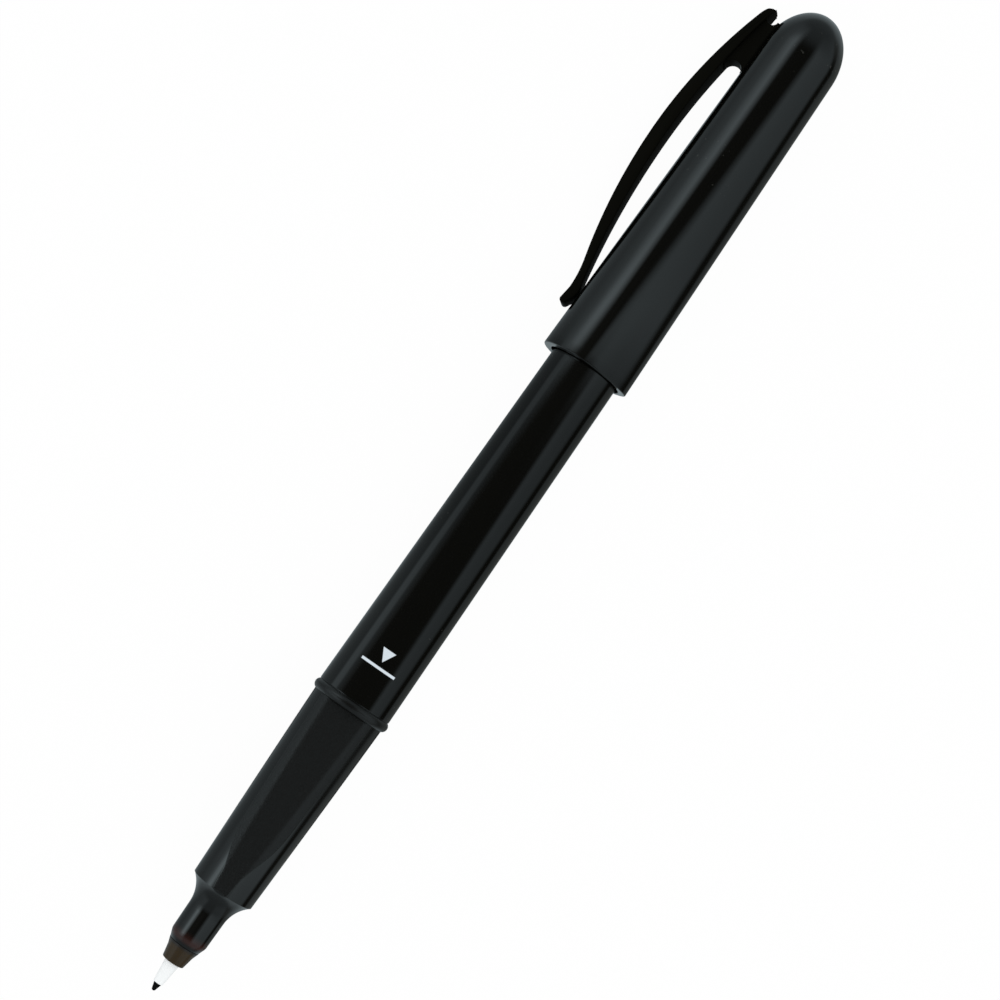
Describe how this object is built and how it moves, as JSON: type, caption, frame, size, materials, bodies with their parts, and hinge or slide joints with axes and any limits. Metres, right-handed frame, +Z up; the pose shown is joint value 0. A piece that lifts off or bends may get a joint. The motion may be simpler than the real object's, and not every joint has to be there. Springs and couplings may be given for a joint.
{
  "type": "marker pen",
  "caption": "Fine-point permanent marker for discs: round tapered barrel, three-flat grip, jacketed fibre nib, and a domed cap with a spring clip posted on the rear end.",
  "frame": {"origin": "centre of the pen's bounding box on the table that it lies on, with the cap posted", "axes": "+X along the pen towards the nib, +Y away from the clip, +Z up from the table"},
  "size_m": [0.148, 0.0158, 0.0118],
  "materials": {
    "barrel_black": "polished moulded polypropylene",
    "grip_black": "fine satin on the grip flats, gloss on the nose",
    "holder_brown": "smoky translucent moulding",
    "cover_white": "smooth white moulding",
    "nib_fibre": "ink-soaked bonded fibre",
    "reservoir_fibre": "ink-soaked fibre bundle",
    "film_clear": "thin clear film",
    "cap_black": "polished moulded polypropylene",
    "seal_grey": "soft polyethylene",
    "clip_black": "satin moulded polypropylene"
  },
  "bodies": {
    "pen": {"barrel": "barrel_black", "grip_section": "grip_black", "nib_holder": "holder_brown", "nib_cover": "cover_white", "nib_core": "nib_fibre", "ink_reservoir": "reservoir_fibre", "reservoir_film": "film_clear", "end_plug": "barrel_black"},
    "cap": {"cap_shell": "cap_black", "inner_seal": "seal_grey", "clip_root": "clip_black"},
    "clip": {"clip_arm": "clip_black"}
  },
  "joints": [
    {"name": "cap_slide", "type": "slide", "parent": "pen", "child": "cap", "axis": [-1, 0, 0], "range_m": [0, 0.03]},
    {"name": "clip_flex", "type": "hinge", "parent": "cap", "child": "clip", "pos_m": [-0.06146, -0.00554, 0.00232], "axis": [0, 0.4456, -0.8952], "range_deg": [0, 5], "stiffness_Nm_per_rad": 0.8}
  ]
}
